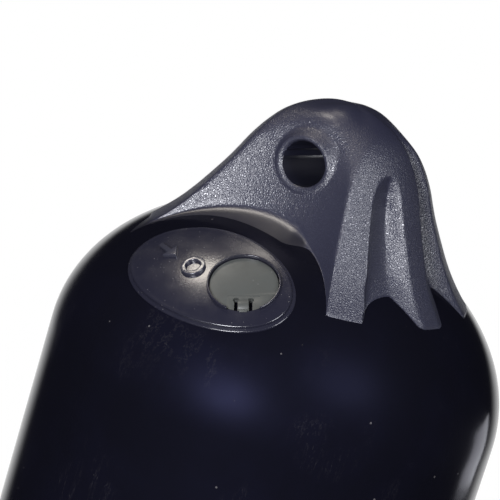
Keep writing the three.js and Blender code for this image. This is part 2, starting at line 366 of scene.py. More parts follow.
def rounded_max(a: Array, b: Array, width: Array | float) -> Array:
    """Larger of two values with the corner between them rounded over a width."""
    return -rounded_min(-a, -b, width)


def even_curve(points: Sequence[tuple[float, float]], count: int) -> Array:
    """Smooth curve through points, sampled at even steps of its length.

    Args:
        points: the points the curve passes.
        count: how many samples to return.

    Returns:
        An array of count rows.
    """
    knots = np.array(points, float)
    reach = np.concatenate([[0], np.cumsum(np.hypot(*np.diff(knots, axis=0).T))])
    steps = np.diff(reach)[:, None]
    slopes = np.diff(knots, axis=0) / steps
    inner = (slopes[:-1] * steps[1:] + slopes[1:] * steps[:-1]) / (steps[1:] + steps[:-1])
    tangents = np.concatenate([slopes[:1], inner, slopes[-1:]])
    places = np.linspace(0, reach[-1], count)
    index = np.clip(np.searchsorted(reach, places, side="right") - 1, 0, len(steps) - 1)
    t = ((places - reach[index]) / steps[index, 0])[:, None]
    h = steps[index]
    return (
        (2 * t**3 - 3 * t**2 + 1) * knots[index]
        + (t**3 - 2 * t**2 + t) * h * tangents[index]
        + (3 * t**2 - 2 * t**3) * knots[index + 1]
        + (t**3 - t**2) * h * tangents[index + 1]
    )


# ------------------------------------------------------------------------------ shape of the fender


@dataclass(frozen=True)
class FenderForm:
    """Sizes and curves that all pieces share, in millimetres."""

    body_radius: float = 105.0
    straight_length: float = 357.0
    shoulder_height: float = 80.0
    foot_radius: float = 74.5
    head_height: float = 75.0
    foot_step: float = 1.0
    eye_below_crown: float = 27.8
    plateau_height: float = 1.6
    lid_azimuth: float = 14.7
    lid_place: float = 73.2
    lid_turn: float = 28.0
    pocket_radius: float = 15.17

    def shoulder_z(self, radius: float) -> float:
        """Height of the shoulder above its edge at a distance from the axis."""
        return self.shoulder_height * math.sqrt(max(0.0, 1 - (radius / self.body_radius) ** 2))

    def shoulder_radius(self, z: Array) -> Array:
        """Distance of the shoulder's surface from the axis at heights above its edge."""
        share = np.clip(z / self.shoulder_height, 0, 1)
        return self.body_radius * np.sqrt(1 - share**2)

    def downhill(self, radius: float, z: float) -> Array:
        """Unit step (outwards, up) down the shoulder from a point of it."""
        fall = self.shoulder_height**2 * radius / (self.body_radius**2 * max(z, 1.0))
        return np.array([1.0, -fall]) / math.hypot(1.0, fall)

    @property
    def foot_z(self) -> float:
        """Height of the ribs' feet above the shoulder's edge."""
        return self.shoulder_z(self.foot_radius) + self.foot_step

    @property
    def eye_z(self) -> float:
        """Height of the rope eye above the shoulder's edge."""
        return self.foot_z + self.head_height - self.eye_below_crown

    def end_matrix(self, end: End) -> Matrix:
        """Places a shape that is modelled above the shoulder's edge at one end, in metres.

        Args:
            end: the end that the shape stands on.

        Returns:
            The matrix of that end.
        """
        scale = Matrix.Scale(MM, 4)
        if end is End.UPPER:
            return scale @ Matrix.Translation((0, 0, -self.eye_z))
        drop = Matrix.Translation((0, 0, -self.eye_z - self.straight_length))
        return scale @ drop @ Matrix.Rotation(math.pi, 4, "Y")

    def shoulder_frame(
        self, azimuth: float, radial_place: float, height: float, turn: float = 0.0
    ) -> Matrix:
        """A place on the upper shoulder: X uphill, Y across, Z out, in millimetres from the eye.

        Args:
            azimuth: degrees from the front, positive towards +X.
            radial_place: distance from the fender's axis.
            height: how far above the shoulder's surface.
            turn: degrees that the place is turned about its Z.

        Returns:
            The matrix of that place.
        """
        z = self.shoulder_z(radial_place)
        angle = math.radians(azimuth - 90)
        out = Vector((math.cos(angle), math.sin(angle), 0))
        normal = out * (radial_place / self.body_radius**2)
        normal.z = z / self.shoulder_height**2
        normal.normalize()
        uphill = normal.cross(Vector((0, 0, 1)).cross(out))
        if uphill.z < 0:
            uphill.negate()
        across = normal.cross(uphill)
        middle = out * radial_place
        middle.z = z - self.eye_z
        middle += normal * height
        matrix = Matrix((uphill, across, normal)).transposed().to_4x4()
        matrix.translation = middle
        return matrix @ Matrix.Rotation(math.radians(turn), 4, "Z")

    def valve_frame(self) -> Matrix:
        """The valve's place: Z out of the plateau, in metres."""
        frame = self.shoulder_frame(
            self.lid_azimuth, self.lid_place, self.plateau_height, self.lid_turn
        )
        return Matrix.Scale(MM, 4) @ frame


FORM = FenderForm()


# ------------------------------------------------------------------------------ shader work


class Nodes:
    """Short way to add and join the nodes of one material or group."""

    def __init__(self, tree: bpy.types.NodeTree) -> None:
        """Starts from an empty tree.

        Args:
            tree: the node tree that is filled.
        """
        self.tree = tree
        tree.nodes.clear()

    def add(
        self, kind: str, inputs: dict[str | int, object] | None = None, **settings: object
    ) -> bpy.types.Node:
        """Adds a node.

        Args:
            kind: the node's type, without the ShaderNode prefix.
            inputs: values or output sockets for its inputs, by name or number.
            **settings: the node's own properties.

        Returns:
            The new node.
        """
        prefix = "" if kind.startswith("NodeGroup") else "ShaderNode"
        node = self.tree.nodes.new(prefix + kind)
        for name, value in settings.items():
            setattr(node, name, value)
        for name, value in (inputs or {}).items():
            if isinstance(value, Socket):
                self.tree.links.new(value, node.inputs[name])
            else:
                node.inputs[name].default_value = value
        return node

    def math(self, operation: str, a: object, b: object = 0.0) -> Socket:
        """Result of a Math node."""
        return self.add("Math", {0: a, 1: b}, operation=operation).outputs[0]

    def ramp(
        self, value: Socket, low: object, high: object, bottom: float = 0.0, top: float = 1.0
    ) -> Socket:
        """Value moved smoothly from one range to another.

        Args:
            value: the number that is moved.
            low: where the first range starts.
            high: where it ends.
            bottom: the result at its start.
            top: the result at its end.

        Returns:
            The moved value.
        """
        ends = {"From Min": low, "From Max": high, "To Min": bottom, "To Max": top}
        return self.add(
            "MapRange", {"Value": value, **ends}, interpolation_type="SMOOTHSTEP"
        ).outputs[0]

    def blend(self, factor: object, a: object, b: object) -> Socket:
        """Colour between two colours, each a socket or plain numbers."""
        ends = {n: v if isinstance(v, Socket) else (*v, 1.0) for n, v in ((6, a), (7, b))}
        return self.add("Mix", {0: factor, **ends}, data_type="RGBA").outputs[2]

    def noise(self, where: Socket, scale: object, detail: float, **inputs: float) -> bpy.types.Node:
        """Noise texture with features of a size and a detail."""
        values = {"Vector": where, "Scale": scale, "Detail": detail, **inputs}
        return self.add("TexNoise", values)

    def bump(self, height: Socket, strength: float, distance: float) -> Socket:
        """Normal bent by a height, whose distance is in metres."""
        values = {"Height": height, "Strength": strength, "Distance": distance}
        return self.add("Bump", values).outputs[0]


def new_group(
    name: str, inputs: dict[str, float], outputs: Iterable[str]
) -> tuple[bpy.types.NodeTree, Nodes, bpy.types.bpy_prop_collection]:
    """Starts a shader node group.

    Args:
        name: the group's name.
        inputs: its number inputs and their defaults, besides its Vector.
        outputs: its number outputs.

    Returns:
        The group, a helper to fill it, and the sockets that its inputs arrive on.
    """
    tree = bpy.data.node_groups.new(name, "ShaderNodeTree")
    tree.interface.new_socket(name="Vector", in_out="INPUT", socket_type="NodeSocketVector")
    for label, default in inputs.items():
        socket = tree.interface.new_socket(
            name=label, in_out="INPUT", socket_type="NodeSocketFloat"
        )
        socket.default_value = default
    for label in outputs:
        tree.interface.new_socket(name=label, in_out="OUTPUT", socket_type="NodeSocketFloat")
    nodes = Nodes(tree)
    return tree, nodes, nodes.add("NodeGroupInput").outputs


@dataclass(frozen=True)
class SurfaceEffects:
    """Shader groups that several finishes use."""

    grain: bpy.types.NodeTree
    specks: bpy.types.NodeTree
    scuffs: bpy.types.NodeTree

    @classmethod
    def build(cls) -> "SurfaceEffects":
        """Builds each group once."""
        return cls(cls._grain(), cls._specks(), cls._scuffs())

    @staticmethod
    def _grain() -> bpy.types.NodeTree:
        """Pebbled leather grain as moulded into vinyl, the cells bent by a coarser noise.

        Returns:
            The group.
        """
        numbers = {"Cells": 1000.0, "Bending": 0.0013, "Edge": 0.32, "Fine": 0.35}
        tree, nodes, given = new_group("moulded_grain", numbers, ["Height"])
        where = given["Vector"]
        warp = nodes.noise(where, 420.0, 2.0)
        centred = nodes.add(
            "VectorMath", {0: warp.outputs["Color"], 1: (0.5, 0.5, 0.5)}, operation="SUBTRACT"
        )
        bent = nodes.add(
            "VectorMath", {0: centred.outputs[0], "Scale": given["Bending"]}, operation="SCALE"
        )
        place_at = nodes.add("VectorMath", {0: where, 1: bent.outputs[0]}, operation="ADD")
        cells = nodes.add(
            "TexVoronoi",
            {"Vector": place_at.outputs[0], "Scale": given["Cells"], "Randomness": 0.9},
            feature="DISTANCE_TO_EDGE",
        )
        pebble = nodes.ramp(cells.outputs["Distance"], 0.0, given["Edge"])
        fine = nodes.math("MULTIPLY", nodes.noise(where, 3200.0, 2.0).outputs["Fac"], given["Fine"])
        nodes.add("NodeGroupOutput", {"Height": nodes.math("ADD", pebble, fine)})
        return tree

    @staticmethod
    def _specks() -> bpy.types.NodeTree:
        """Sparse specks of dust and salt, in a share of the cells.

        Returns:
            The group.
        """
        numbers = {"Cells": 260.0, "Share": 0.2, "Size": 0.16}
        tree, nodes, given = new_group("dust_specks", numbers, ["Mask"])
        cells = nodes.add(
            "TexVoronoi", {"Vector": given["Vector"], "Scale": given["Cells"], "Randomness": 1.0}
        )
        chosen = nodes.add("SeparateColor", {0: cells.outputs["Color"]})
        picked = nodes.math("LESS_THAN", chosen.outputs[0], given["Share"])
        radius = nodes.math("MULTIPLY", chosen.outputs[1], given["Size"])
        dot = nodes.math("LESS_THAN", cells.outputs["Distance"], radius)
        nodes.add("NodeGroupOutput", {"Mask": nodes.math("MULTIPLY", picked, dot)})
        return tree

    @staticmethod
    def _scuffs() -> bpy.types.NodeTree:
        """Faint rubbed patches, and hairline scratches inside them.

        Returns:
            The group.
        """
        numbers = {"Patches": 22.0, "Lines": 70.0, "Line Width": 0.006}
        tree, nodes, given = new_group("rub_marks", numbers, ["Rub", "Scratch"])
        where = given["Vector"]
        patch = nodes.noise(where, given["Patches"], 5.0, Roughness=0.6).outputs["Fac"]
        stretch = nodes.add(
            "Mapping", {"Vector": where, "Rotation": (0.4, 0.9, 0.3), "Scale": (1.0, 1.0, 0.12)}
        )
        lines = nodes.noise(stretch.outputs[0], given["Lines"], 6.0, Roughness=0.75)
        ridge = nodes.math("ABSOLUTE", nodes.math("SUBTRACT", lines.outputs["Fac"], 0.5))
        line = nodes.ramp(ridge, 0.0, given["Line Width"], 1.0, 0.0)
        scratch = nodes.math("MULTIPLY", line, nodes.ramp(patch, 0.52, 0.68))
        nodes.add("NodeGroupOutput", {"Rub": nodes.ramp(patch, 0.35, 0.75), "Scratch": scratch})
        return tree


def start_material(name: str) -> tuple[bpy.types.Material, Nodes, Socket]:
    """A new material, a helper to fill its nodes, and the socket with the piece's coordinates.

    Args:
        name: the material's name.

    Returns:
        The material, the helper and the socket.
    """
    material = bpy.data.materials.new(name)
    material.use_nodes = True
    nodes = Nodes(material.node_tree)
    return material, nodes, nodes.add("TexCoord").outputs["Object"]


def wear(piece: Piece, material: bpy.types.Material) -> None:
    """Gives a piece one material on all its faces.

    Args:
        piece: the piece that is dressed.
        material: its material.
    """
    piece.data.materials.clear()
    piece.data.materials.append(material)
    piece.data.polygons.foreach_set("material_index", np.zeros(len(piece.data.polygons), np.int32))


@dataclass(frozen=True)
class Dust:
    """Specks on a finish.

    The numbers are the cells in a metre, the share of them that holds a speck, how fully a speck
    covers the colour, and what it adds to the roughness.
    """

    cells: float
    share: float
    cover: float
    roughness: float = 0.0


@dataclass(frozen=True)
class Rubbing:
    """Rubbed patches and scratches on a finish.

    The numbers are how fully patches and scratches cover the colour, what a patch adds to the
    roughness, and how close patches and scratches lie.
    """

    cover: float
    scratch_cover: float = 0.0
    roughness: float = 0.0
    patches: float = 22.0
    lines: float = 70.0


@dataclass(frozen=True)
class Waves:
    """Fine unevenness of a surface: how close, how detailed, how strong and how high in metres."""

    scale: float
    detail: float
    strength: float
    height: float


@dataclass(frozen=True)
class Finish:
    """Vinyl or plastic under dust, rub marks and scratches, with a fine unevenness."""

    effects: SurfaceEffects
    name: str
    colour: Colour
    rubbed: Colour
    dusty: Colour
    dust: Dust
    rubbing: Rubbing
    waves: Waves
    roughness: float
    ior: float = 1.5
    specular_level: float = 0.5
    specular_tint: Colour = (1.0, 1.0, 1.0)

    def base_roughness(self, nodes: Nodes) -> object:
        """Roughness under the marks."""
        return self.roughness

    def marked(
        self, nodes: Nodes, where: Socket, colour: object, rough: object
    ) -> tuple[Socket, object]:
        """Lays the marks over a colour and a roughness.

        Args:
            nodes: the material's nodes.
            where: the piece's coordinates.
            colour: the colour underneath.
            rough: the roughness underneath.

        Returns:
            The marked colour and roughness.
        """
        dust, rubbing = self.dust, self.rubbing
        specks = nodes.add(
            "Group", {"Vector": where, "Cells": dust.cells, "Share": dust.share},
            node_tree=self.effects.specks,
        ).outputs["Mask"]
        scuffs = nodes.add(
            "Group", {"Vector": where, "Patches": rubbing.patches, "Lines": rubbing.lines},
            node_tree=self.effects.scuffs,
        ).outputs
        for mask, cover, over in (
            (scuffs["Rub"], rubbing.cover, self.rubbed),
            (scuffs["Scratch"], rubbing.scratch_cover, self.dusty),
            (specks, dust.cover, self.dusty),
        ):
            if cover:
                colour = nodes.blend(nodes.math("MULTIPLY", mask, cover), colour, over)
        for mask, more in ((scuffs["Rub"], rubbing.roughness), (specks, dust.roughness)):
            if more:
                rough = nodes.math("ADD", nodes.math("MULTIPLY", mask, more), rough)
        return colour, rough

    def surface(self, nodes: Nodes, colour: Socket, rough: Socket, normal: Socket) -> None:
        """Ends the material with its shader, on whose own sockets the plain numbers are set.

        Args:
            nodes: the material's nodes.
            colour: the colour that changes over the surface.
            rough: the roughness that changes over it.
            normal: the normal that changes over it.
        """
        shader = nodes.add("BsdfPrincipled", {
            "Base Color": colour, "Roughness": rough, "Normal": normal, "IOR": self.ior,
            "Specular IOR Level": self.specular_level, "Specular Tint": (*self.specular_tint, 1.0),
        })
        nodes.add("OutputMaterial", {"Surface": shader.outputs[0]})

    def build(self) -> bpy.types.Material:
        """Makes the material.

        Returns:
            The material.
        """
        material, nodes, where = start_material(self.name)
        waves = self.waves
        height = nodes.noise(where, waves.scale, waves.detail).outputs["Fac"]
        normal = nodes.bump(height, waves.strength, waves.height)
        colour, rough = self.marked(nodes, where, self.colour, self.base_roughness(nodes))
        self.surface(nodes, colour, rough, normal)
        return material


@dataclass(frozen=True)
class GlossVinyl(Finish):
    """Glossy near-black navy vinyl of the body, glossier where it is seen at a low angle."""

    name: str = "gloss_navy_vinyl"
    colour: Colour = (0.0041, 0.0041, 0.0072)
    rubbed: Colour = (0.005, 0.005, 0.0115)
    dusty: Colour = (0.16, 0.15, 0.15)
    dust: Dust = Dust(240.0, 0.1, 0.5, 0.4)
    rubbing: Rubbing = Rubbing(0.5, 0.12, 0.07)
    waves: Waves = Waves(46.0, 3.0, 0.05, 0.0006)
    roughness: float = 0.36
    specular_level: float = 0.07
    specular_tint: Colour = (0.42, 0.45, 1.0)
    grazing_roughness: float = 0.1
    grazing_range: tuple[float, float] = (0.1, 0.8)

    def base_roughness(self, nodes: Nodes) -> object:
        """Roughness that falls from the middle of the shoulder to its outline."""
        facing = nodes.add("LayerWeight", {"Blend": 0.5}).outputs["Facing"]
        return nodes.ramp(facing, *self.grazing_range, self.roughness, self.grazing_roughness)


@dataclass(frozen=True)
class GrainedVinyl(Finish):
    """Matte grained vinyl of the heads, glossy and plain where its two attributes are 0."""

    name: str = "grained_navy_vinyl"
    colour: Colour = (0.021, 0.022, 0.043)
    rubbed: Colour = (0.018, 0.018, 0.033)
    dusty: Colour = (0.3, 0.29, 0.3)
    dust: Dust = Dust(300.0, 0.08, 0.35)
    rubbing: Rubbing = Rubbing(0.3)
    waves: Waves = Waves(1000.0, 2.0, 0.5, 0.0002)
    roughness: float = 0.29
    ior: float = 1.95
    # pale is a painted highlight: the raised pebbles of the grain are coloured paler in place of
    # the light they catch.
    pale: Colour = (0.037, 0.038, 0.065)
    pebble_highlight_cover: float = 0.6
    pebble_highlight_range: tuple[float, float] = (0.35, 1.2)
    gloss: Colour = (0.006, 0.006, 0.013)
    gloss_roughness: float = 0.34
    hollow_roughness: float = 0.16

    def build(self) -> bpy.types.Material:
        """Makes the material: paler on the grain's pebbles, a painted highlight on their tops, and
        rougher between them.

        Returns:
            The material.
        """
        material, nodes, where = start_material(self.name)
        grain, satin = (
            nodes.add("Attribute", attribute_name=name).outputs["Fac"]
            for name in ("grain", "satin")
        )
        cells = nodes.add(
            "Group", {"Vector": where, "Cells": self.waves.scale}, node_tree=self.effects.grain
        ).outputs["Height"]
        height = nodes.math("MULTIPLY", cells, grain)
        normal = nodes.bump(height, self.waves.strength, self.waves.height)
        # Painted highlight: the raised pebbles are blended towards the pale colour.
        raised = nodes.math("MULTIPLY", nodes.ramp(cells, *self.pebble_highlight_range), grain)
        paler = nodes.math("MULTIPLY", raised, self.pebble_highlight_cover)
        pebbled = nodes.blend(paler, self.colour, self.pale)
        smooth_rough = nodes.ramp(satin, 0.0, 1.0, self.gloss_roughness, self.roughness)
        hollow = nodes.math("MULTIPLY", nodes.math("SUBTRACT", 1.0, raised), grain)
        deeper = nodes.math("MULTIPLY", hollow, self.hollow_roughness)
        rough = nodes.math("ADD", smooth_rough, deeper)
        colour, rough = self.marked(nodes, where, pebbled, rough)
        self.surface(nodes, nodes.blend(satin, self.gloss, colour), rough, normal)
        return material


@dataclass(frozen=True)
class PlateauVinyl(Finish):
    """Satin navy vinyl of the raised plateau, finely speckled."""

    name: str = "satin_navy_vinyl"
    colour: Colour = (0.015, 0.015, 0.026)
    rubbed: Colour = (0.021, 0.0205, 0.031)
    dusty: Colour = (0.2, 0.19, 0.185)
    dust: Dust = Dust(700.0, 0.5, 0.55)
    rubbing: Rubbing = Rubbing(0.6, 0.3, 0.1, 60.0, 110.0)
    waves: Waves = Waves(900.0, 4.0, 0.16, 0.0002)
    roughness: float = 0.19
    ior: float = 1.9


@dataclass(frozen=True)
class ValvePlastic(Finish):
    """Plain moulded plastic or rubber of the valve; the lid's grey is the one set here."""

    name: str = "grey_lid_plastic"
    colour: Colour = (0.072, 0.076, 0.071)
    rubbed: Colour = (0.06, 0.062, 0.057)
    dusty: Colour = (0.3, 0.3, 0.29)
    dust: Dust = Dust(700.0, 0.12, 0.4)
    rubbing: Rubbing = Rubbing(0.7, 0.0, 0.12, 120.0, 240.0)
    waves: Waves = Waves(2600.0, 3.0, 0.2, 0.0001)
    roughness: float = 0.34


# ------------------------------------------------------------------------------ body


@dataclass
class Body:
    """Glossy tube with its two domed shoulders and the pocket for the valve."""

    form: FenderForm
    finish: bpy.types.Material
    around: int = 192
    dome_steps: int = 44
    rings: tuple[float, ...] = (0.03, 0.25, 0.5, 0.75, 0.97)
    pocket_floor: float = -4.4
    bore_radius: float = 7.3
    bore_bottom: float = -24.0
    cutter_top: float = 9.0

    def build(self) -> Piece:
        """Models and dresses the body.

        Returns:
            The body's piece.
        """
        form = self.form
        quarter = np.linspace(0, math.pi / 2, self.dome_steps + 1)
        reach, rise = form.body_radius * np.cos(quarter), form.shoulder_height * np.sin(quarter)
        reach[-1] = 0.0
        low, high = -form.eye_z - form.straight_length, -form.eye_z
        profile = [
            *zip(reach[::-1], low - rise[::-1]),
            *((form.body_radius, low + share * form.straight_length) for share in self.rings),
            *zip(reach, high + rise),
        ]
        piece = turned("fender_body", profile, self.around)
        place(piece, Matrix.Scale(MM, 4))
        pocket = column("pocket", form.pocket_radius, self.pocket_floor, self.cutter_top, 96)
        bore = column("bore", self.bore_radius, self.bore_bottom, self.pocket_floor + 1, 64)
        for cutter in (pocket, bore):
            place(cutter, form.valve_frame())
        cut(piece, pocket, bore)
        smooth(piece, 30)
        wear(piece, self.finish)
        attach(piece, "fender")
        return piece


# ------------------------------------------------------------------------------ heads


@dataclass
class EyeHead:
    """Bell-shaped head with a rope eye, scooped panels and three ribs at each narrow end.

    Each groove's rows hold the share of the head's height, the edge at the middle rib, the deepest
    line and the edge at the outer rib in degrees from the middle rib, the share of the depth, and
    the fullness of the outer wall.
    """

    form: FenderForm
    end: End
    finish: bpy.types.Material
    around: int = 400
    crest_rows: int = 260
    skirt_rows: int = 14
    fillet_rows: int = 22
    skin_rows: int = 140
    eye_width: float = 23.2
    eye_height: float = 19.8
    bore_length: float = 90.0
    bore_touch: float = 0.05
    bore_satin: float = 0.3
    collar_width: float = 2.6
    collar_reach: float = 7.2
    collar_proud: float = 2.2
    collar_fall: float = 0.95
    collar_bend: float = 1.15
    collar_rounding: float = 2.2
    collar_core: float = 12.0
    rim_rounding: float = 1.3
    rim_depth: float = 2.2
    panel_distance: float = 26.0
    panel_lean: float = 0.19
    panel_edge_rounding: float = 2.2
    crown_rounding: float = 6.0
    crown_blend: tuple[float, float] = (0.6, 0.92)
    crown_fade: tuple[float, float] = (0.84, 0.97)
    crown_bare: float = 0.85
    rib_angle: float = 35.2
    ribs_forward: float = 3.5
    outer_rib_half_angle: float = 7.2
    groove_depth: float = 9.0
    groove_floor_rounding: float = 0.15
    groove_edge_rounding: float = 1.5
    fillet_up: float = 4.5
    fillet_out: float = 11.0
    foot_fillet: float = 0.7
    foot_lift: float = 0.03
    widest_foot: float = 0.97
    fillet_pull: float = 0.62
    fillet_probe: float = 0.6
    fillet_right: tuple[float, float] = (14.0, 35.0)
    fillet_left: tuple[float, float] = (42.0, 54.0)
    skirt_depth: float = 3.5
    root_depth: float = 18.0
    buried: tuple[tuple[float, float], ...] = ((4.0, 9.0), (0.1, 0.9))
    soft_range: tuple[float, float] = (0.12, 0.4)
    satin_fade: tuple[float, float] = (0.35, 0.85)
    grain_fade: tuple[float, float] = (0.5, 1.0)
    fillet_grain: float = 0.7
    grain_reach: float = 4.0
    bell: tuple[tuple[float, float], ...] = (
        (0, 1), (0.06, 0.94), (0.12, 0.886), (0.18, 0.838), (0.245, 0.792), (0.32, 0.744),
        (0.395, 0.698), (0.47, 0.654), (0.545, 0.615), (0.62, 0.578), (0.69, 0.537), (0.76, 0.489),
        (0.83, 0.43), (0.89, 0.356), (0.94, 0.268), (0.975, 0.175), (0.993, 0.09), (1, 0),
    )
    front_groove: tuple[tuple[float, ...], ...] = (
        (0, 3.8, 16, 29.3, 0.66, 0.35), (0.1, 5, 15, 28.4, 0.72, 0.35),
        (0.2, 5.6, 13, 28, 0.9, 0.5), (0.4, 6, 11.5, 28, 1, 0.65),
        (0.55, 7, 12, 28, 0.85, 0.7), (0.64, 8, 13, 27, 0.6, 0.8),
        (0.7, 9.5, 14.5, 24.5, 0.28, 0.9), (0.74, 12, 15.5, 21, 0, 1),
    )
    back_groove: tuple[tuple[float, ...], ...] = (
        (0, 4.6, 19, 28, 0.8, 1), (0.16, 4.8, 19, 28, 0.95, 1), (0.32, 7, 19, 28, 1, 1),
        (0.5, 9, 20, 28, 0.85, 1), (0.68, 10.5, 20, 28, 0.62, 1), (0.82, 9.5, 19, 28, 0.42, 1),
        (0.92, 8, 18, 28, 0.28, 1), (1, 8, 18, 28, 0, 1),
    )

    def groove_share(
        self, rows: Sequence[Sequence[float]], from_middle: Array, rise: Array
    ) -> Array:
        """How deep a groove is, as a share of the full depth.

        Args:
            rows: the groove's rows.
            from_middle: degrees from the middle rib's centre.
            rise: share of the head's height.

        Returns:
            The shares.
        """
        table = np.array(rows, float).T
        inner, deepest, outer, depth, fullness = (
            np.interp(rise, table[0], column_of) for column_of in table[1:]
        )
        inner_wall = np.maximum(0, (from_middle - inner) / (deepest - inner))
        outer_wall = np.maximum(0, (outer - from_middle) / (outer - deepest)) ** fullness
        wall = np.where(from_middle < deepest, inner_wall, outer_wall)
        k = self.groove_floor_rounding
        return depth * (math.hypot(1, k) - np.hypot(1 - wall, k)) / (math.hypot(1, k) - k)

    def panel(self, z: Array, crest: Array, from_panel: Array, edge: Array) -> tuple[Array, Array]:
        """Distance of a scooped panel from the axis, bent so that it meets the ribs.

        Args:
            z: height above the shoulder's edge.
            crest: distance of the rib crests from the axis at that height.
            from_panel: angle from the panel's middle, in radians.
            edge: angle of the panel's edge, in radians.

        Returns:
            The distances, and whether there is a panel there.
        """
        middle = self.panel_distance + self.panel_lean * (self.form.eye_z - z)
        safe = np.maximum(crest, 1.0)
        curve = (safe * np.cos(edge) - middle) / (safe * np.sin(edge)) ** 2
        s, c = np.sin(from_panel), np.cos(from_panel)
        square = curve * s * s
        root = c * c - 4 * square * middle
        flat = np.abs(square) < 1e-7
        bent = (c - np.sqrt(np.maximum(root, 0))) / np.where(flat, 1, 2 * square)
        return np.where(flat, middle / np.maximum(c, TINY), bent), (root > 0) & (crest > 1)

    def radius(self, angle: Array, z: Array, crest: Array) -> Array:
        """Distance of the head's surface from the axis.

        Args:
            angle: angle round the fender, 0 at +X.
            z: height above the shoulder's edge.
            crest: distance of the rib crests from the axis at that height.

        Returns:
            The distances.
        """
        form = self.form
        rise = np.clip((z - form.foot_z) / form.head_height, 0, 1)
        side = np.degrees(np.arctan2(np.sin(angle), np.abs(np.cos(angle))))
        from_rib = side + self.ribs_forward
        front, back = (
            self.groove_share(rows, np.abs(from_rib), rise)
            for rows in (self.front_groove, self.back_groove)
        )
        groove = crest - self.groove_depth * np.where(from_rib < 0, front, back)
        rounding = self.groove_edge_rounding * np.minimum(1, crest / form.foot_radius) + TINY
        radius = rounded_min(crest, groove, rounding)
        from_panel = np.radians(90 - np.abs(side))
        ribs = self.rib_angle + self.outer_rib_half_angle
        edge = np.radians(90 - ribs + np.sign(side) * self.ribs_forward)
        panel, there = self.panel(z, crest, from_panel, edge)
        rounding = self.panel_edge_rounding
        rounding = rounding + self.crown_rounding * smoothstep(*self.crown_blend, rise)
        scooped = np.where(there, rounded_min(radius, panel, rounding), radius)
        share = 1 - smoothstep(edge, 2 * edge, from_panel)
        return np.maximum(0, radius + (scooped - radius) * share)

    def fillet_share(self, angle: float) -> float:
        """How fully the head runs smoothly onto the shoulder, from 0 at the ribs to 1.

        Args:
            angle: angle round the fender.

        Returns:
            The share.
        """
        side = math.degrees(math.atan2(math.sin(angle), abs(math.cos(angle))))
        low, high = self.fillet_right if math.cos(angle) > 0 else self.fillet_left
        return 1 - float(smoothstep(low, high, np.array(90 - abs(side))))

    def masks(self, share: float, up_fillet: Array, beyond: Array) -> Array:
        """Satin and grain along a run: none where it is buried, growing up a smooth fillet.

        Args:
            share: how fully the head runs smoothly onto the shoulder here.
            up_fillet: place on the fillet, from 0 at its foot to 1.
            beyond: distance above the fillet.

        Returns:
            Rows of (share of satin, share of grain).
        """
        soft = float(smoothstep(*self.soft_range, np.array(share)))
        satin = 1 - soft * (1 - smoothstep(*self.satin_fade, up_fillet))
        grain = 1 - soft * (1 - self.fillet_grain * smoothstep(*self.grain_fade, up_fillet))
        above = 1 - soft * (1 - self.fillet_grain) * (1 - smoothstep(0, self.grain_reach, beyond))
        return np.concatenate([
            np.zeros((1 + len(self.buried), 2)), np.stack([satin, grain], -1),
            np.stack([np.ones(len(above)), above], -1),
        ])

    def profile(self, angle: float, crest: Array) -> Array:
        """Run of the skin at one angle, from inside the shoulder up to the crown.

        Args:
            angle: angle round the fender.
            crest: smooth curve of (height, crest distance) rows from foot to crown.

        Returns:
            Rows of (distance from the axis, height, share of satin, share of grain).
        """
        form = self.form
        bottom = form.foot_z - self.skirt_depth
        skirt = np.linspace(bottom, form.foot_z, self.skirt_rows, endpoint=False)
        z = np.concatenate([skirt, crest[:, 0]])
        reach = np.concatenate([np.full(len(skirt), form.foot_radius), crest[:, 1]])
        skin = np.stack([self.radius(np.full(len(z), angle), z, reach), z], -1)
        gap = skin[:, 0] - form.shoulder_radius(z)
        last = int(np.nonzero(gap < 0)[0][-1])
        t = gap[last] / (gap[last] - gap[last + 1])
        meet = skin[last] * (1 - t) + skin[last + 1] * t
        above = np.concatenate([meet[None], skin[last + 1:]])
        run = np.concatenate([[0], np.cumsum(np.hypot(*np.diff(above, axis=0).T))])

        def point(length: Array | float) -> Array:
            """Points at lengths along the run above the shoulder."""
            return np.stack([np.interp(length, run, above[:, i]) for i in (0, 1)], -1)

        share = self.fillet_share(angle)
        rise = self.foot_fillet + (self.fillet_up - self.foot_fillet) * share
        width = self.foot_fillet + (self.fillet_out - self.foot_fillet) * share
        top = point(rise)
        up = point(rise + self.fillet_probe) - top
        up *= self.fillet_pull * rise / np.hypot(*up)
        out = min(meet[0] + form.downhill(*meet)[0] * width, form.body_radius * self.widest_foot)
        foot = np.array([out, form.shoulder_z(out)])
        down = form.downhill(*foot)
        start = foot + np.array([-down[1], down[0]]) * self.foot_lift
        u = np.linspace(0, 1, self.fillet_rows)[:, None]
        fillet = (
            (1 - u) ** 3 * start + 3 * u * (1 - u) ** 2 * (start - down * self.fillet_pull * width)
            + 3 * u * u * (1 - u) * (top - up) + u**3 * top
        )
        steps = rise + (run[-1] - rise) * np.linspace(0, 1, self.skin_rows + 1)[1:]
        hidden = [(0.0, form.foot_z - self.root_depth), *(foot - step for step in self.buried)]
        points = np.concatenate([np.array(hidden), fillet, point(steps)])
        points[-1, 0] = 0
        return np.concatenate([points, self.masks(share, u[:, 0], steps - rise)], -1)

    def skin(self) -> tuple[Array, Array]:
        """Positions and masks of the skin for each step round and along.

        Returns:
            The positions, and rows of (share of satin, share of grain).
        """
        form = self.form
        outline = [
            (form.foot_z + form.head_height * rise, form.foot_radius * share)
            for rise, share in self.bell
        ]
        crest = even_curve(outline, self.crest_rows)
        crest[-1, 1] = 0.0
        angles = np.arange(self.around) / self.around * math.tau
        rows = np.stack([self.profile(float(angle), crest) for angle in angles])
        reach, turn = rows[..., 0], angles[:, None]
        points = np.stack([reach * np.cos(turn), reach * np.sin(turn), rows[..., 1]], -1)
        return points, rows[..., 2:]

    def from_eye(self, points: Array) -> Array:
        """How far points lie outside the oval of the eye, seen along Y."""
        height = (points[..., 2] - self.form.eye_z) * self.eye_width / self.eye_height
        return np.hypot(points[..., 0], height) - self.eye_width / 2

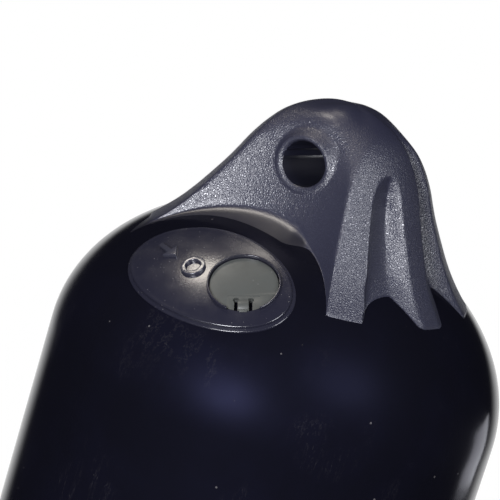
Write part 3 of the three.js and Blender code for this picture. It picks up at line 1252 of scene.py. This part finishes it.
    def collar(self, points: Array) -> Array:
        """Pulls the panel out to the raised collar round each mouth of the eye.

        Args:
            points: positions above the shoulder's edge.

        Returns:
            The changed positions.
        """
        far = self.from_eye(points)
        beyond = np.maximum(0, far - self.collar_width)
        mouth = self.rim_depth * np.clip(1 - far / self.rim_rounding, 0, 1) ** 2
        face = self.panel_distance + self.collar_proud - mouth
        face = face - self.collar_fall * beyond**self.collar_bend
        depth = np.abs(points[..., 1])
        raised = rounded_max(depth, face, self.collar_rounding)
        near = (far < self.collar_width + self.collar_reach) & (depth > self.collar_core)
        changed = points.copy()
        changed[..., 1] = np.where(near, np.sign(points[..., 1]) * raised, points[..., 1])
        return changed

    def build(self) -> Piece:
        """Models and dresses the head.

        Returns:
            The head's piece.
        """
        form = self.form
        points, masks = self.skin()
        points = self.collar(points)
        piece = rolled_sheet(
            f"{self.end.value}_eye_head", self.around, points.shape[1] - 1,
            lambda u, v: points[u, v], {"satin": masks[..., 0], "grain": masks[..., 1]},
        )
        cut(piece, cylinder(
            "eye_bore", self.eye_width / 2, self.bore_length, 96, (0, 0, form.eye_z), lying=True,
            flattened=self.eye_height / self.eye_width,
        ))
        self._thin_grain(piece)
        place(piece, form.end_matrix(self.end))
        smooth(piece, 40)
        wear(piece, self.finish)
        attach(piece, "fender")
        return piece

    def _thin_grain(self, piece: Piece) -> None:
        """Leaves the wall of the bore without grain, and the crown with little.

        Args:
            piece: the head, still above the shoulder's edge.
        """
        form = self.form
        at = coordinates(piece)
        wall = self.from_eye(at) < self.bore_touch
        crown = smoothstep(*self.crown_fade, (at[:, 2] - form.foot_z) / form.head_height)
        satin, grain = (read_attribute(piece, name) for name in ("satin", "grain"))
        write_attribute(piece, "satin", np.where(wall, self.bore_satin, satin))
        write_attribute(piece, "grain", np.where(wall, 0, grain) * (1 - self.crown_bare * crown))


# ------------------------------------------------------------------------------ plateau


@dataclass
class Plateau:
    """Oval plateau round the valve with a stepped edge and two plain raised marks."""

    form: FenderForm
    finish: bpy.types.Material
    # mark_finish is the paler vinyl of the marks, a painted highlight on them.
    mark_finish: bpy.types.Material
    width: float = 83.3
    length: float = 53.5
    azimuth: float = 0.9
    radial_place: float = 74.2
    turn: float = 3.5
    around: int = 200
    inner_rows: int = 26
    root_depth: float = 2.5
    step_height: float = 0.55
    step_width: float = 1.5
    cutter_reach: float = 9.0
    lip_width: float = 0.8
    lip_height: float = 0.35
    lip_root: float = 1.2
    lip_notch: tuple[float, float, float] = (6.0, 14.0, 4.0)
    lip_notch_middle: float = 0.8
    mark_azimuths: tuple[float, float] = (-16.5, -3.7)
    mark_place: float = 76.5
    mark_height: float = 1.4
    mark_root: float = 1.2
    mark_rounding: float = 0.45
    arrow_length: float = 13.0
    arrow_width: float = 8.0
    arrow_head_share: float = 0.7
    shaft_width: float = 2.4
    shaft_overlap: float = 0.6
    ring_radius: float = 5.5
    ring_width: float = 2.3

    def height_profile(self) -> list[tuple[float, float]]:
        """Distance in from the rim and height above the shoulder, from the rim inwards.

        Returns:
            The rows of the plateau's edge.
        """
        top, step, ledge = self.form.plateau_height, self.step_height, self.step_width
        return [
            (0.0, -1.0), (0.0, 0.0), (0.04, step - 0.2), (0.12, step - 0.06), (0.28, step),
            (ledge - 0.35, step), (ledge - 0.12, step + 0.05), (ledge - 0.04, step + 0.2),
            (ledge, top - 0.4), (ledge + 0.1, top - 0.12), (ledge + 0.3, top), (ledge + 0.7, top),
            (ledge + 1.2, top - 0.06), (ledge + 2.0, top - 0.08),
        ]

    def build(self) -> list[Piece]:
        """Models and dresses the plateau and its marks.

        Returns:
            The plateau's pieces.
        """
        form = self.form
        frame = form.shoulder_frame(self.azimuth, self.radial_place, 0, self.turn)
        edge_rows = self.height_profile()
        top_rows = [(0.0, form.plateau_height)] * self.inner_rows
        rows = np.array([(0.0, -self.root_depth), *edge_rows, *top_rows])
        edge = len(edge_rows)

        def shape(steps_round: Array, steps_along: Array) -> Array:
            """Positions of the plateau's skin in the plateau's own frame.

            Args:
                steps_round: step round the plateau.
                steps_along: step from its root over the edge to its middle.

            Returns:
                The positions, in millimetres from the eye.
            """
            angle = steps_round / self.around * math.tau
            inset, height = rows[steps_along].T
            inwards = (len(rows) - 1 - steps_along) / self.inner_rows
            share = np.where(steps_along > edge, inwards, 1.0)
            share = np.where(steps_along == 0, 0.0, share)
            rim = np.where(steps_along > edge, edge_rows[-1][0], inset)
            x = np.cos(angle) * (self.length / 2 - rim) * share
            y = np.sin(angle) * (self.width / 2 - rim) * share
            return self._on_shoulder(frame, x, y, height)

        piece = rolled_sheet("valve_plateau", self.around, len(rows) - 1, shape)
        place(piece, Matrix.Scale(MM, 4))
        pocket = column("pocket", form.pocket_radius, -self.cutter_reach, self.cutter_reach, 96)
        place(pocket, form.valve_frame())
        cut(piece, pocket)
        smooth(piece, 30)
        marks = [self._arrow(), self._ring()]
        pieces = [piece, self._lip(), *marks]
        for each in pieces:
            wear(each, self.mark_finish if each in marks else self.finish)
            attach(each, "fender")
        return pieces

    def _on_shoulder(self, frame: Matrix, x: Array, y: Array, height: Array) -> Array:
        """Drops points of the plateau's frame onto the shoulder, raised by a height.

        Args:
            frame: the plateau's place, in millimetres from the eye.
            x: distance uphill.
            y: distance across.
            height: height above the shoulder's surface.

        Returns:
            The positions, in millimetres from the eye.
        """
        form = self.form
        uphill, across, normal = (np.array(frame.col[i][:3]) for i in range(3))
        start = np.array(frame.translation) + np.array([0, 0, form.eye_z])
        base = start + np.outer(x, uphill) + np.outer(y, across)
        wide = form.body_radius + height
        scale = np.stack([wide, wide, form.shoulder_height + height], -1)
        p, d = base / scale, normal / scale
        a, b, c = (d * d).sum(-1), 2 * (p * d).sum(-1), (p * p).sum(-1) - 1
        t = (-b + np.sqrt(np.maximum(b * b - 4 * a * c, 0))) / (2 * a)
        points = base + t[:, None] * normal
        points[:, 2] -= form.eye_z
        return points

    def _lip(self) -> Piece:
        """Thin raised lip round the pocket, open where the lid swings over its hinge.

        Returns:
            The lip.
        """
        low, inner = -self.lip_root, self.form.pocket_radius
        outer, high = inner + self.lip_width, self.lip_height
        profile = [
            (inner, low), (inner, high - 0.15), (inner + 0.05, high - 0.04), (inner + 0.17, high),
            (outer - 0.3, high), (outer - 0.12, high - 0.05), (outer, high - 0.2),
            (outer + 0.12, low), (inner, low),
        ]
        piece = turned("pocket_lip", profile, 128)
        cut(piece, block("lip_notch", self.lip_notch, (-inner, 0, self.lip_notch_middle)))
        place(piece, self.form.valve_frame())
        smooth(piece, 60)
        return piece

    def _finish_mark(self, piece: Piece, number: int) -> Piece:
        """Rounds a mark's edges and sets it on the plateau.

        Args:
            piece: the mark, modelled round the origin.
            number: which of the two places it takes.

        Returns:
            The finished mark.
        """
        form = self.form
        bevel(piece, self.mark_rounding, 4, 30)
        azimuth = self.mark_azimuths[number]
        frame = form.shoulder_frame(azimuth, self.mark_place, form.plateau_height)
        place(piece, Matrix.Scale(MM, 4) @ frame)
        smooth(piece, 40)
        return piece

    def _arrow(self) -> Piece:
        """Raised arrow that points at the valve.

        Returns:
            The arrow.
        """
        tail = self.arrow_length / 2
        neck = self.arrow_head_share * self.arrow_width - tail
        height, overlap = self.mark_height + self.mark_root, self.shaft_overlap
        middle = height / 2 - self.mark_root
        size = (self.shaft_width, tail - neck + overlap, height)
        piece = block("raised_arrow", size, (0, (tail + neck - overlap) / 2, middle))
        head = cylinder("arrow_head", 1, height, 3, (0, 0, middle))
        points = coordinates(head)
        tip = points[:, 1] > 0.5
        points[:, 1] = np.where(tip, -tail, neck)
        points[:, 0] = np.where(tip, 0, np.sign(points[:, 0]) * self.arrow_width / 2)
        set_coordinates(head, points)
        face_out(head)
        apply_modifier(piece, "BOOLEAN", operation="UNION", solver="EXACT", object=head)
        bpy.data.objects.remove(head, do_unlink=True)
        return self._finish_mark(piece, 0)

    def _ring(self) -> Piece:
        """Raised ring beside the arrow.

        Returns:
            The ring.
        """
        piece = column("raised_ring", self.ring_radius, -self.mark_root, self.mark_height, 72)
        cut(piece, column("ring_hole", self.ring_radius - self.ring_width, -3, 3, 56))
        return self._finish_mark(piece, 1)


# ------------------------------------------------------------------------------ valve


@dataclass
class Valve:
    """Valve body in its pocket, with the lid that hinges on a strap."""

    form: FenderForm
    body_finish: bpy.types.Material
    lid_finish: bpy.types.Material
    core_finish: bpy.types.Material
    lid_radius: float = 14.75
    lid_thickness: float = 1.4
    lid_sink: float = 1.4
    lid_rounding: float = 0.16
    clearance: float = 0.3
    flange_thickness: float = 1.0
    flange_proud: float = 0.12
    groove_depth: float = 0.25
    stem_radius: float = 7.0
    stem_length: float = 15.4
    core_radius: float = 4.5
    core_length: float = 10.1
    needle_radius: float = 1.6
    slot_spacing: float = 6.3
    slot_width: float = 1.5
    slot_end_radius: float = 1.35
    slot_length: float = 6.0
    well_margin: tuple[float, float] = (3.0, 0.8)
    well_shift: float = 0.6
    cutter_height: float = 4.0
    fold_offset: float = 6.5
    fold_size: tuple[float, float, float] = (0.5, 13.8, 0.4)
    peg_radius: float = 0.9
    peg_length: float = 2.0
    peg_root: float = 0.3
    strap_gap: float = 0.3
    strap_shift: float = 0.1
    strap_thickness: float = 0.6
    strap_cuts: int = 9
    strap_rise: float = 2.0
    strap_start: float = 1.35
    strap_rise_share: float = 0.6
    strap_dip: float = 0.4
    strap_dip_range: tuple[float, float] = (0.75, 1.0)
    strap_crown: float = 0.12
    bead_radius: float = 0.5
    hinge_rise: float = 0.25
    hinge_setback: float = 0.25

    def build(self, nodes: dict[str, Piece]) -> list[Piece]:
        """Models and dresses the valve.

        Args:
            nodes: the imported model's own nodes, by name.

        Returns:
            The new pieces.
        """
        wear(nodes["valve_core"], self.core_finish)
        return [self._body(), *self._lid()]

    def _body(self) -> Piece:
        """Flange with a raised ring round the needle hole, on its stem.

        Returns:
            The valve body's piece.
        """
        top = -(self.lid_sink + self.lid_thickness + self.clearance)
        under = top - self.flange_thickness
        bottom, groove = under - self.stem_length, top - self.groove_depth
        rim, core_top = self.lid_radius + self.flange_proud, bottom + self.core_length
        stem, seat, needle = self.stem_radius, self.core_radius, self.needle_radius
        profile = [
            (needle, core_top), (needle, top - 0.3), (needle + 0.3, top), (needle + 1.6, top),
            (needle + 1.8, groove), (needle + 6.2, groove), (needle + 6.4, top), (rim - 0.25, top),
            (rim, top - 0.25), (rim, under + 0.2), (rim - 0.2, under), (stem + 0.3, under),
            (stem, under - 0.3), (stem, bottom + 1), (stem - 1, bottom), (seat + 0.2, bottom),
            (seat, bottom + 0.2), (seat, core_top), (needle, core_top),
        ]
        piece = turned("valve_flange", profile, 96)
        longer, wider = self.well_margin
        size = (self.slot_length + longer, self.slot_width + wider, self.cutter_height)
        x = -self.lid_radius + self.slot_length / 2 - self.well_shift
        for side in (-1, 1):
            cut(piece, block("well", size, (x, side * self.slot_spacing / 2, top)))
        place(piece, self.form.valve_frame())
        smooth(piece, 32)
        wear(piece, self.body_finish)
        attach(piece, "fender")
        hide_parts("valve_body")
        return piece

    def _lid(self) -> list[Piece]:
        """Disc with two keyhole slots and a fold line, and the strap that carries it.

        Returns:
            The lid's pieces.
        """
        low, high = -self.lid_sink - self.lid_thickness, -self.lid_sink
        middle = (low + high) / 2
        lid = column("lid_disc", self.lid_radius, low, high, 144)
        cut(lid, block("fold", self.fold_size, (-self.fold_offset, 0, high)))
        depth = self.lid_thickness + 2
        size = (self.slot_length + 2, self.slot_width, self.cutter_height)
        edge = -self.lid_radius
        for side in (-1, 1):
            y = side * self.slot_spacing / 2
            end_middle = (edge + self.slot_length, y, middle)
            end = cylinder("slot_end", self.slot_end_radius, depth, 32, end_middle)
            cut(lid, end, block("slot", size, (edge + self.slot_length / 2 - 1, y, middle)))
        bevel(lid, self.lid_rounding, 3)
        strap, bead = self._strap(high), self._bead(high)
        peg = column("lid_peg", self.peg_radius, low - self.peg_length, low + self.peg_root, 32)
        bevel(peg, 0.3, 3)
        pieces = [lid, strap, bead, peg]
        for piece in pieces:
            place(piece, self.form.valve_frame())
            smooth(piece, 38)
            wear(piece, self.lid_finish)
            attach(piece, "lid")
        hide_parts("valve_lid")
        return pieces

    def _strap(self, high: float) -> Piece:
        """Strap between the two slots, bowed over the hinge and dipped into the disc.

        Args:
            high: height of the lid's top.

        Returns:
            The strap.
        """
        width = self.slot_spacing - self.slot_width - self.strap_gap
        start = -self.lid_radius - self.strap_shift
        size = (self.slot_length, width, self.strap_thickness)
        piece = block("lid_strap", size, (start + self.slot_length / 2, 0, high))
        work_on(piece)
        bpy.ops.object.mode_set(mode="EDIT")
        bpy.ops.mesh.select_all(action="SELECT")
        bpy.ops.mesh.subdivide(number_cuts=self.strap_cuts)
        bpy.ops.object.mode_set(mode="OBJECT")
        points = coordinates(piece)
        along = np.clip((points[:, 0] - start) / self.slot_length, 0, 1)
        bow = np.sin(np.minimum(along / self.strap_rise_share, 1) * math.pi / 2)
        points[:, 2] += self.strap_rise * bow - self.strap_start
        points[:, 2] -= self.strap_dip * smoothstep(*self.strap_dip_range, along)
        points[:, 2] -= self.strap_crown * (points[:, 1] / width * 2) ** 2
        set_coordinates(piece, points)
        bevel(piece, 0.1, 2)
        return piece

    def _bead(self, high: float) -> Piece:
        """Round bead on the hinge line.

        Args:
            high: height of the lid's top.

        Returns:
            The bead.
        """
        length = self.slot_spacing - 2 * self.slot_width
        middle = (-self.lid_radius - self.hinge_setback, 0, high + self.hinge_rise)
        piece = cylinder("lid_bead", self.bead_radius, length, 32, middle, lying=True)
        bevel(piece, 0.12, 3)
        return piece


# ------------------------------------------------------------------------------ studio


@dataclass(frozen=True)
class Lamp:
    """A soft square lamp that faces the fender's head.

    Its place is in degrees and metres, its size in metres and its power in watts.
    """

    name: str
    yaw: float
    elevation: float
    distance: float
    size: float
    power: float
    colour: Colour


@dataclass
class Studio:
    """Pale floor, white surroundings, soft lamps and the camera at the photograph's angle."""

    form: FenderForm
    yaw: float = 33.5
    elevation: float = 18.0
    roll: float = 17.3
    distance: float = 1200.0
    pixels_per_mm: float = 2.18
    anchor_pixel: tuple[float, float] = (273.7, 375.5)
    picture: float = 500.0
    sensor: float = 36.0
    clip: tuple[float, float] = (0.02, 60.0)
    floor_colour: Colour = (0.85, 0.85, 0.85)
    floor_radius: float = 0.5
    floor_gap: float = 0.0005
    floor_fade: float = 0.6
    lamp_aim: float = -0.05
    ambient: Colour = (0.92, 0.94, 1.0)
    ambient_strength: float = 0.26
    mirrored_front: Colour = (0.012, 0.012, 0.016)
    mirrored_back: Colour = (1.0, 1.0, 1.0)
    back_range: tuple[float, float] = (-0.8, -0.93)
    level_range: tuple[float, float] = (0.04, -0.1)
    lamps: tuple[Lamp, ...] = (
        Lamp("key", 15, 13, 1.5, 0.5, 24.0, (0.97, 0.98, 1.04)),
        Lamp("fill", 76, 40, 1.9, 0.8, 16.0, (0.96, 0.98, 1.04)),
        Lamp("rim", 165, -13, 1.9, 0.5, 2.2, (0.96, 0.97, 1.04)),
        Lamp("warm_left", -73, 56, 1.4, 0.3, 2.8, (1.06, 0.98, 0.88)),
        Lamp("warm_back", -120, 62, 1.4, 0.3, 0.7, (1.06, 0.98, 0.88)),
    )

    @staticmethod
    def towards(yaw: float, elevation: float) -> Vector:
        """Direction from the fender towards a place round it, in degrees."""
        a, e = math.radians(yaw), math.radians(elevation)
        return Vector((math.sin(a) * math.cos(e), -math.cos(a) * math.cos(e), math.sin(e)))

    def build(self) -> None:
        """Sets the stage, the lamps and the camera."""
        self._camera()
        self._floor()
        self._world()
        for lamp in self.lamps:
            self._light(lamp)

    def _camera(self) -> None:
        """Camera where the photograph's outline puts it."""
        anchor = Vector((0, 0, -self.form.eye_z))
        back = self.towards(self.yaw, self.elevation)
        right = Vector((math.cos(math.radians(self.yaw)), math.sin(math.radians(self.yaw)), 0))
        up = back.cross(right)
        roll = math.radians(self.roll)
        dx, dy = (self.picture / 2 - pixel for pixel in self.anchor_pixel)
        u = (dx * math.cos(roll) + dy * math.sin(roll)) / self.pixels_per_mm
        v = (dx * math.sin(roll) - dy * math.cos(roll)) / self.pixels_per_mm
        place_at = (anchor + back * self.distance) * MM
        aim = (anchor + right * u + up * v) * MM
        forward = (aim - place_at).normalized()
        side = (right - forward * right.dot(forward)).normalized()
        over = side.cross(forward)
        x_axis = side * math.cos(roll) + over * math.sin(roll)
        y_axis = over * math.cos(roll) - side * math.sin(roll)
        matrix = Matrix((x_axis, y_axis, -forward)).transposed().to_4x4()
        matrix.translation = place_at
        data = bpy.data.cameras.new("camera")
        data.sensor_width = self.sensor
        data.lens = self.pixels_per_mm * self.distance / self.picture * self.sensor
        data.clip_start, data.clip_end = self.clip
        camera = bpy.data.objects.new("camera", data)
        camera.matrix_world = matrix
        bpy.context.scene.collection.objects.link(camera)
        bpy.context.scene.camera = camera

    def _floor(self) -> None:
        """Round pale floor just under the fender, with a rim that fades out."""
        form = self.form
        low = -form.eye_z - form.straight_length - form.foot_z - form.head_height
        middle = (0, 0, low * MM - self.floor_gap)
        clear_selection()
        bpy.ops.mesh.primitive_plane_add(size=2 * self.floor_radius, location=middle)
        floor = bpy.context.object
        floor.name = "floor"
        material, nodes, where = start_material("pale_floor")
        flat = nodes.add("VectorMath", {0: where, 1: (1, 1, 0)}, operation="MULTIPLY").outputs[0]
        away = nodes.add("VectorMath", {0: flat}, operation="LENGTH").outputs["Value"]
        fade = nodes.ramp(away, self.floor_radius * self.floor_fade, self.floor_radius)
        pale = nodes.add("BsdfDiffuse", {"Color": (*self.floor_colour, 1)}).outputs[0]
        clear = nodes.add("BsdfTransparent").outputs[0]
        shader = nodes.add("MixShader", {0: fade, 1: pale, 2: clear})
        nodes.add("OutputMaterial", {"Surface": shader.outputs[0]})
        wear(floor, material)

    def _world(self) -> None:
        """White for the camera, even soft light, and mirrored dark in front and white behind."""
        world = bpy.data.worlds.new("surroundings")
        world.use_nodes = True
        bpy.context.scene.world = world
        nodes = Nodes(world.node_tree)
        direction = nodes.add("TexCoord").outputs["Generated"]
        front = tuple(self.towards(self.yaw, self.elevation))
        facing = nodes.add("VectorMath", {0: direction, 1: front}, operation="DOT_PRODUCT")
        height = nodes.add("SeparateXYZ", {0: direction}).outputs["Z"]
        behind = nodes.math(
            "MULTIPLY", nodes.ramp(facing.outputs["Value"], *self.back_range),
            nodes.ramp(height, *self.level_range),
        )
        tone = nodes.blend(behind, self.mirrored_front, self.mirrored_back)
        ambient, mirror, plain = (
            nodes.add("Background", {"Color": colour, "Strength": strength}).outputs[0]
            for colour, strength in (
                ((*self.ambient, 1), self.ambient_strength), (tone, 1.0), ((1, 1, 1, 1), 1.0),
            )
        )
        path = nodes.add("LightPath").outputs
        lit = nodes.add("MixShader", {0: path["Is Glossy Ray"], 1: ambient, 2: mirror}).outputs[0]
        seen = nodes.add("MixShader", {0: path["Is Camera Ray"], 1: lit, 2: plain}).outputs[0]
        nodes.add("OutputWorld", {"Surface": seen})

    def _light(self, lamp: Lamp) -> None:
        """Adds a lamp that faces the fender's head.

        Args:
            lamp: the lamp to add.
        """
        data = bpy.data.lights.new(lamp.name, "AREA")
        data.shape, data.size, data.energy, data.color = (
            "SQUARE", lamp.size, lamp.power, lamp.colour
        )
        light = bpy.data.objects.new(lamp.name, data)
        back = self.towards(lamp.yaw, lamp.elevation)
        light.location = back * lamp.distance + Vector((0, 0, self.lamp_aim))
        light.rotation_euler = back.to_track_quat("Z", "Y").to_euler()
        bpy.context.scene.collection.objects.link(light)


# ------------------------------------------------------------------------------ whole


def main() -> None:
    """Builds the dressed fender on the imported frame."""
    logging.basicConfig(level=logging.INFO, format="%(name)s: %(message)s")
    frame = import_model()
    bpy.context.scene.view_settings.view_transform = "Standard"
    Studio(FORM).build()
    effects = SurfaceEffects.build()
    gloss = GlossVinyl(effects).build()
    grained = GrainedVinyl(effects).build()
    satin = PlateauVinyl(effects).build()
    # The marks' vinyl is paler than the plateau's, a painted highlight on the raised marks.
    mark_highlight = PlateauVinyl(effects, "mark_highlight_navy_vinyl", (0.036, 0.036, 0.05)).build()
    lid_grey = ValvePlastic(effects).build()
    body_grey = ValvePlastic(
        effects, "grey_valve_plastic", (0.1, 0.105, 0.1), (0.08, 0.084, 0.08), roughness=0.42
    ).build()
    rubber = ValvePlastic(
        effects, "black_core_rubber", (0.012, 0.012, 0.013), (0.02, 0.02, 0.02), roughness=0.6
    ).build()
    pieces = [Body(FORM, gloss).build()]
    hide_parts("fender_shell")
    pieces += [EyeHead(FORM, end, grained).build() for end in End]
    pieces += Plateau(FORM, satin, mark_highlight).build()
    pieces += Valve(FORM, body_grey, lid_grey, rubber).build(frame["nodes"])
    for piece in pieces:
        LOG.info("%s: %d faces", piece.name, len(piece.data.polygons))


if __name__ == "__main__":
    main()
